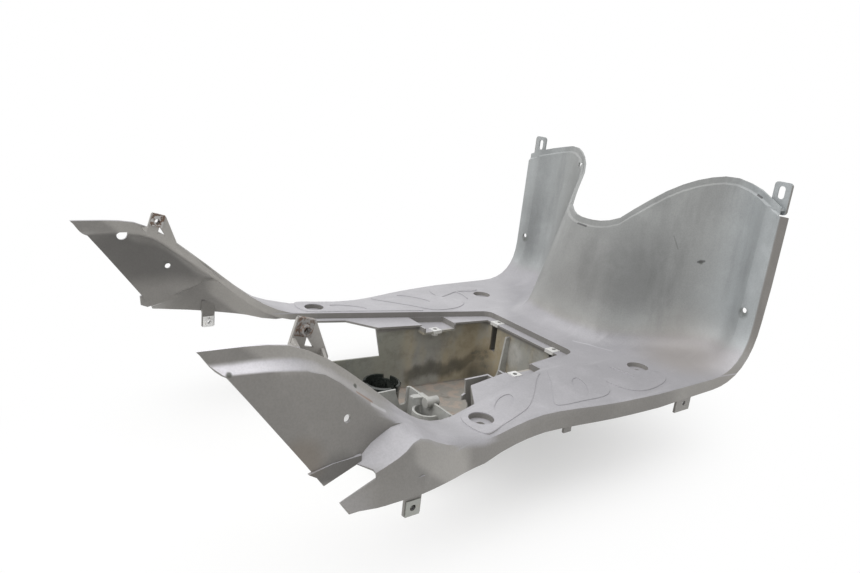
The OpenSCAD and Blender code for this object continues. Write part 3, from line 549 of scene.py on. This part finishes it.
def zinc_plate(look):
    """Bright plating with a fine spangle and stains, tarnished on the near leg's clip."""
    nodes = Shading("zinc_plate")
    spangle = nodes.noise(420, 3, 0.5)
    dull_grains = nodes.tint(look.zinc, (0.86, 0.86, 0.88))
    colour = nodes.blend(nodes.ramp(spangle, 0.35, 0.65), look.zinc, dull_grains)
    near_leg = nodes.ramp(nodes.coordinates()["Y"], -0.185, -0.195)
    colour = nodes.blend(nodes.product(near_leg, 0.85), colour, (0.27, 0.28, 0.25))
    stain = nodes.ramp(nodes.noise(150, 4, 0.6, offset=(0.2, 0.6, 0.1)), 0.56, 0.72)
    nodes.give("Base Color", nodes.blend(nodes.product(stain, 0.35), colour, (0.42, 0.36, 0.27)))
    nodes.give("Metallic", 0.3)
    nodes.give("Roughness", nodes.math("ADD", 0.3, nodes.product(stain, 0.3)))
    nodes.give("Normal", nodes.bump(spangle, 0.00005, 0.4))
    return nodes.material


def rusted_sheet(look):
    """Pitted rust with bare steel between its patches, brighter on the far wing's clip."""
    nodes = Shading("rusted_sheet")
    pits = nodes.noise(900, 3, 0.6)
    pale_rust = nodes.tint(look.rust, (1.45, 1.35, 1.28))
    colour = nodes.blend(nodes.ramp(pits, 0.4, 0.65), look.rust, pale_rust)
    bare = nodes.ramp(nodes.noise(260, 6, 0.65), 0.44, 0.56)
    far_clip = nodes.ramp(nodes.coordinates()["Y"], -0.05, 0.05)
    steel = nodes.scale(far_clip, (0.33, 0.33, 0.325), 1.6)
    nodes.give("Base Color", nodes.blend(nodes.product(bare, 0.85), colour, steel))
    nodes.give("Metallic", nodes.product(bare, 0.35))
    nodes.give("Roughness", nodes.math("SUBTRACT", 0.82, nodes.product(bare, 0.35)))
    nodes.give("Normal", nodes.bump(pits, 0.00018, 0.7))
    return nodes.material


def black_rubber(look):
    """Shiny rubber with a dull bloom of dust."""
    nodes = Shading("black_rubber")
    bloom = nodes.ramp(nodes.noise(60, 6, 0.65), 0.5, 0.75)
    nodes.give("Base Color", nodes.blend(nodes.product(bloom, 0.22), look.rubber, (0.13, 0.14, 0.12)))
    nodes.give("Roughness", nodes.math("ADD", 0.2, nodes.product(bloom, 0.4)))
    nodes.give("Normal", nodes.bump(nodes.noise(180, 4, 0.6), 0.0002, 0.4))
    nodes.give("Specular IOR Level", 0.6)
    return nodes.material


def pale_floor():
    """White paper: the camera sees it white, with the part's shadow, and white alone far away."""
    nodes = Shading("pale_floor")
    nodes.give("Base Color", (0.86, 0.86, 0.855, 1))
    nodes.give("Roughness", 0.8)
    nodes.give("Specular IOR Level", 0.1)
    oval = nodes.node("ShaderNodeVectorMath", operation="MULTIPLY")
    nodes.join(nodes.place, oval.inputs[0])
    oval.inputs[1].default_value = (0.62, 1, 1)
    far = nodes.node("ShaderNodeVectorMath", operation="LENGTH")
    nodes.join(oval.outputs[0], far.inputs[0])
    share = nodes.math("ADD", 0.5, nodes.product(nodes.ramp(far.outputs["Value"], 0.11, 0.32), 0.5))
    mix = nodes.node("ShaderNodeMixShader")
    nodes.join(nodes.product(nodes.seen(), share), mix.inputs[0])
    nodes.join(nodes.shader.outputs[0], mix.inputs[1])
    nodes.join(nodes.node("ShaderNodeEmission").outputs[0], mix.inputs[2])
    nodes.join(mix.outputs[0], nodes.surface)
    return nodes.material


# Pieces
def only(piece):
    """Selects one piece alone."""
    bpy.ops.object.select_all(action="DESELECT")
    piece.select_set(True)
    bpy.context.view_layer.objects.active = piece


def mark_edges(mesh, chosen, sharp):
    """Makes edges sharp or soft where both ends are in a chosen place."""
    marked = [chosen(vertex.co) for vertex in mesh.vertices]
    for edge in mesh.edges:
        if marked[edge.vertices[0]] and marked[edge.vertices[1]]:
            edge.use_edge_sharp = sharp


def band_crease(place):
    """Inner edge of the flat outer bands of the leg shield."""
    on_edge = abs(abs(place.y) - BAND_EDGE) < BAND_TOLERANCE
    return on_edge and place.x > REAR_ROW + 0.33 and place.z > TREAD + 0.03


def pad_top(place):
    """Top of a tread pad, away from the screw pocket in it."""
    flat = Vector((place.x, abs(place.y)))
    return abs(place.z - TREAD - PAD_HEIGHT) < PAD_TOLERANCE and all(
        (flat - Vector(pocket)).length > POCKET_RADIUS for pocket in POCKETS)


def soft_place(place):
    """Tops of the tread's pads, and the hollow between the tunnel and the bowl."""
    ahead = place.x - REAR_ROW
    height = place.z - TREAD
    hollow = 0.04 < abs(place.y) < 0.085 and ahead > 0.25 and 0.003 < height < 0.075
    return hollow or pad_top(place)


def dressed_copy(node, name, crease_angle, material, marks=()):
    """A merged copy of a solid with smooth shading, which stands for it in the picture."""
    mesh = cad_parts[node].data.copy()
    mesh.name = name
    piece = bpy.data.objects.new(name, mesh)
    bpy.context.scene.collection.objects.link(piece)
    only(piece)
    bpy.ops.mesh.customdata_custom_splitnormals_clear()
    bpy.ops.object.mode_set(mode="EDIT")
    bpy.ops.mesh.select_all(action="SELECT")
    bpy.ops.mesh.remove_doubles(threshold=MERGE_DISTANCE)
    bpy.ops.object.mode_set(mode="OBJECT")
    bpy.ops.object.shade_smooth_by_angle(angle=crease_angle)
    for chosen, sharp in marks:
        mark_edges(mesh, chosen, sharp)
    weights = piece.modifiers.new("weights", "WEIGHTED_NORMAL")
    weights.keep_sharp = True
    weights.weight = NORMAL_WEIGHT
    bpy.ops.object.modifier_apply(modifier=weights.name)
    mesh.materials.clear()
    mesh.materials.append(material)
    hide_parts(node)
    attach(piece, "root")


def paint(node, material):
    """Gives a solid that keeps its own mesh a new material."""
    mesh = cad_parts[node].data
    mesh.materials.clear()
    mesh.materials.append(material)


class FLOORBOARD_OT_moulding(bpy.types.Operator):
    """Dress the moulding in grained grey plastic with dust and wear, and painted light and shade"""

    bl_idname = "floorboard.moulding"
    bl_label = "Moulding"

    def execute(self, context):
        look = context.scene.moulding_look
        dressed_copy("floorboard", "moulding_skin", look.crease_angle, MouldedPlastic(look).material,
                     ((band_crease, True), (soft_place, False)))
        return {"FINISHED"}


class FLOORBOARD_OT_slot_shade(bpy.types.Operator):
    """Close the front slots of the well with a small open box behind each, as painted shade in the slots"""

    bl_idname = "floorboard.pockets"
    bl_label = "Slot pockets"

    def execute(self, context):
        material = bpy.data.materials.get("moulded_plastic")
        if material is None:
            material = MouldedPlastic(context.scene.moulding_look).material
        for side, name in ((-1, "slot_shade_right"), (1, "slot_shade_left")):
            pocket = self.open_box(name, side)
            shell = pocket.modifiers.new("shell", "SOLIDIFY")
            shell.thickness = SLOT_WALL
            shell.offset = 1
            bpy.ops.object.modifier_apply(modifier=shell.name)
            pocket.data.materials.append(material)
            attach(pocket, "root")
        return {"FINISHED"}

    def open_box(self, name, side):
        """A box behind one slot, open towards the well."""
        x, y, z = SLOT_MIDDLE
        bpy.ops.object.select_all(action="DESELECT")
        bpy.ops.mesh.primitive_cube_add(size=1, location=(0, 0, 0))
        box = bpy.context.object
        box.name = name
        bpy.ops.object.mode_set(mode="EDIT")
        bpy.ops.mesh.select_all(action="SELECT")
        bpy.ops.transform.resize(value=SLOT_SIZE, center_override=(0, 0, 0))
        bpy.ops.transform.translate(value=at(x, side * y, z))
        bpy.ops.mesh.select_all(action="DESELECT")
        bpy.ops.object.mode_set(mode="OBJECT")
        for face in box.data.polygons:
            face.select = face.normal.x < -0.5
        bpy.ops.object.mode_set(mode="EDIT")
        bpy.ops.mesh.select_mode(type="FACE")
        bpy.ops.mesh.delete(type="FACE")
        bpy.ops.object.mode_set(mode="OBJECT")
        return box


class FLOORBOARD_OT_clips(bpy.types.Operator):
    """Plate the clips of the tread and the legs, and rust those of the wing brackets"""

    bl_idname = "floorboard.clips"
    bl_label = "Spring clips"

    def execute(self, context):
        look = context.scene.clip_look
        plate = zinc_plate(look)
        for node in ("mid_clips", "front_clips", "leg_clips"):
            paint(node, plate)
        paint("bracket_clips", rusted_sheet(look))
        return {"FINISHED"}


class FLOORBOARD_OT_cup(bpy.types.Operator):
    """Dress the rubber cup in the battery well"""

    bl_idname = "floorboard.cup"
    bl_label = "Rubber cup"

    def execute(self, context):
        look = context.scene.cup_look
        dressed_copy("rubber_cup", "cup_skin", CUP_CREASE, black_rubber(look))
        return {"FINISHED"}


class FLOORBOARD_OT_stage(bpy.types.Operator):
    """Set up the pale studio with its camera and lights"""

    bl_idname = "floorboard.stage"
    bl_label = "Studio"

    def execute(self, context):
        scene = context.scene
        settings = scene.studio_settings
        scene.view_settings.view_transform = "Standard"
        self.camera(scene, settings)
        self.room(scene, settings)
        self.softbox(scene, "overhead", settings.softbox,
                     size=2.2, place=(-0.2, 0.1, 1.7), target=(0, 0, 0.1))
        self.softbox(scene, "window", settings.window,
                     size=1.4, place=(-1.9, 0.1, 1.3), target=(0.1, 0, 0.15))
        self.floor()
        return {"FINISHED"}

    def camera(self, scene, settings):
        lens = bpy.data.cameras.new("camera")
        lens.lens = settings.lens
        lens.sensor_width = SENSOR_WIDTH
        lens.clip_end = 50
        camera = bpy.data.objects.new("camera", lens)
        scene.collection.objects.link(camera)
        right = Vector(settings.camera_right).normalized()
        back = -Vector(settings.camera_ahead).normalized()
        up = back.cross(right).normalized()
        turned = Matrix((right, up, back)).transposed().to_4x4()
        camera.matrix_world = Matrix.Translation(settings.camera_place) @ turned
        scene.camera = camera

    def room(self, scene, settings):
        """Even light from all round, behind which the camera sees white."""
        world = bpy.data.worlds.new("room")
        scene.world = world
        world.use_nodes = True
        nodes = Nodes(world.node_tree)
        light = nodes.node("ShaderNodeBackground")
        light.inputs["Color"].default_value = (1, 0.995, 0.985, 1)
        light.inputs["Strength"].default_value = settings.sky
        white = nodes.node("ShaderNodeBackground")
        white.inputs["Color"].default_value = (1, 1, 1, 1)
        mix = nodes.node("ShaderNodeMixShader")
        nodes.join(nodes.seen(), mix.inputs[0])
        nodes.join(light.outputs[0], mix.inputs[1])
        nodes.join(white.outputs[0], mix.inputs[2])
        nodes.join(mix.outputs[0], nodes.node("ShaderNodeOutputWorld").inputs[0])

    def softbox(self, scene, name, power, size, place, target):
        """A square lamp at a place, turned to a target."""
        lamp = bpy.data.lights.new(name, "AREA")
        lamp.energy = power
        lamp.shape = "SQUARE"
        lamp.size = size
        holder = bpy.data.objects.new(name, lamp)
        scene.collection.objects.link(holder)
        holder.location = place
        holder.rotation_euler = (Vector(target) - Vector(place)).to_track_quat("-Z", "Y").to_euler()

    def floor(self):
        bpy.ops.object.select_all(action="DESELECT")
        bpy.ops.mesh.primitive_plane_add(size=FLOOR_SIZE, location=(0, 0, 0))
        floor = bpy.context.object
        floor.name = "floor"
        floor.data.materials.append(pale_floor())


class FLOORBOARD_PT_panel(bpy.types.Panel):
    """Lists the pieces of the floorboard"""

    bl_label = "Scooter floorboard"
    bl_idname = "FLOORBOARD_PT_panel"
    bl_space_type = "VIEW_3D"
    bl_region_type = "UI"
    bl_category = "Floorboard"

    def draw(self, context):
        column = self.layout.column(align=True)
        for operator in OPERATORS:
            column.operator(operator.bl_idname)
        for group in GROUPS:
            box = self.layout.box()
            settings = getattr(context.scene, group)
            for key in settings.bl_rna.properties.keys():
                if key not in ("rna_type", "name"):
                    box.prop(settings, key)


OPERATORS = (
    FLOORBOARD_OT_stage,
    FLOORBOARD_OT_moulding,
    FLOORBOARD_OT_slot_shade,
    FLOORBOARD_OT_clips,
    FLOORBOARD_OT_cup,
)
GROUPS = {
    "moulding_look": MouldingLook,
    "clip_look": ClipLook,
    "cup_look": CupLook,
    "studio_settings": StudioSettings,
}


def register():
    for made in (*GROUPS.values(), *OPERATORS, FLOORBOARD_PT_panel):
        bpy.utils.register_class(made)
    for name, group in GROUPS.items():
        setattr(bpy.types.Scene, name, bpy.props.PointerProperty(type=group))


def unregister():
    for name in GROUPS:
        delattr(bpy.types.Scene, name)
    for made in reversed((*GROUPS.values(), *OPERATORS, FLOORBOARD_PT_panel)):
        bpy.utils.unregister_class(made)


def main():
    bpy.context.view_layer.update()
    register()
    bpy.ops.floorboard.stage()
    bpy.ops.floorboard.moulding()
    bpy.ops.floorboard.pockets()
    bpy.ops.floorboard.clips()
    bpy.ops.floorboard.cup()


if __name__ == "__main__":
    main()
